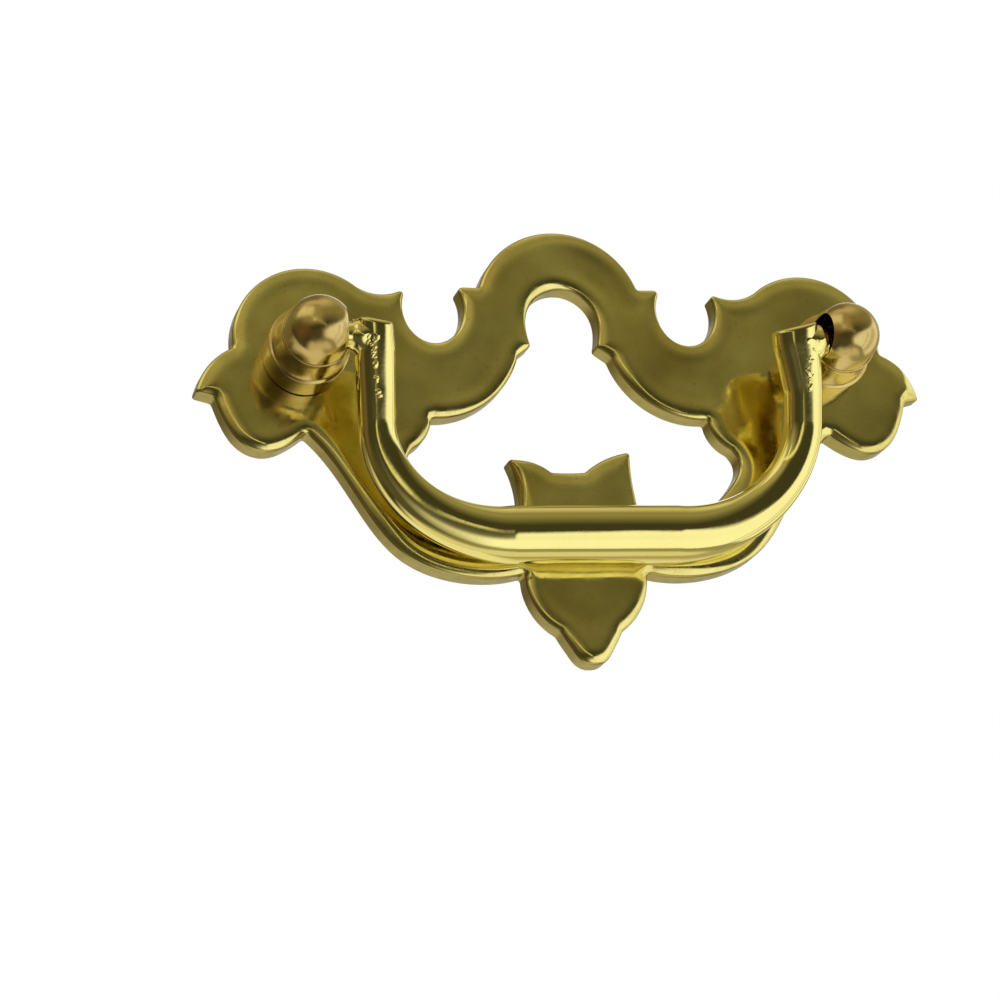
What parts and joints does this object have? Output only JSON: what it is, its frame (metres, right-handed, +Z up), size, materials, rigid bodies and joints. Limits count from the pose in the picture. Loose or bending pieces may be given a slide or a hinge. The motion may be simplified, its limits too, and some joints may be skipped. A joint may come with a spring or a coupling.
{
  "type": "cabinet handle",
  "caption": "Drawer pull in polished cast brass: a pierced, scalloped backplate, ball-headed posts and a bail that swings up on pins.",
  "frame": {"origin": "midway between the two posts, on their axis height, on the backplate's back face", "axes": "+Z up, +X to the right seen from the front, -Y out of the drawer towards the hand"},
  "size_m": [0.1064, 0.0442, 0.0637],
  "materials": {
    "plate_brass": "polished, slightly tarnished",
    "post_brass": "polished",
    "bail_brass": "polished",
    "nut_brass": "plain machined"
  },
  "bodies": {
    "mounting": {"backplate": "plate_brass", "post_left": "post_brass", "post_right": "post_brass", "nut_left": "nut_brass", "nut_right": "nut_brass"},
    "bail": {"bail": "bail_brass"}
  },
  "joints": [
    {"name": "bail_swing", "type": "hinge", "parent": "mounting", "child": "bail", "pos_m": [0, -0.0147, -0.00105], "axis": [-1, 0, 0], "range_deg": [0, 215]}
  ]
}
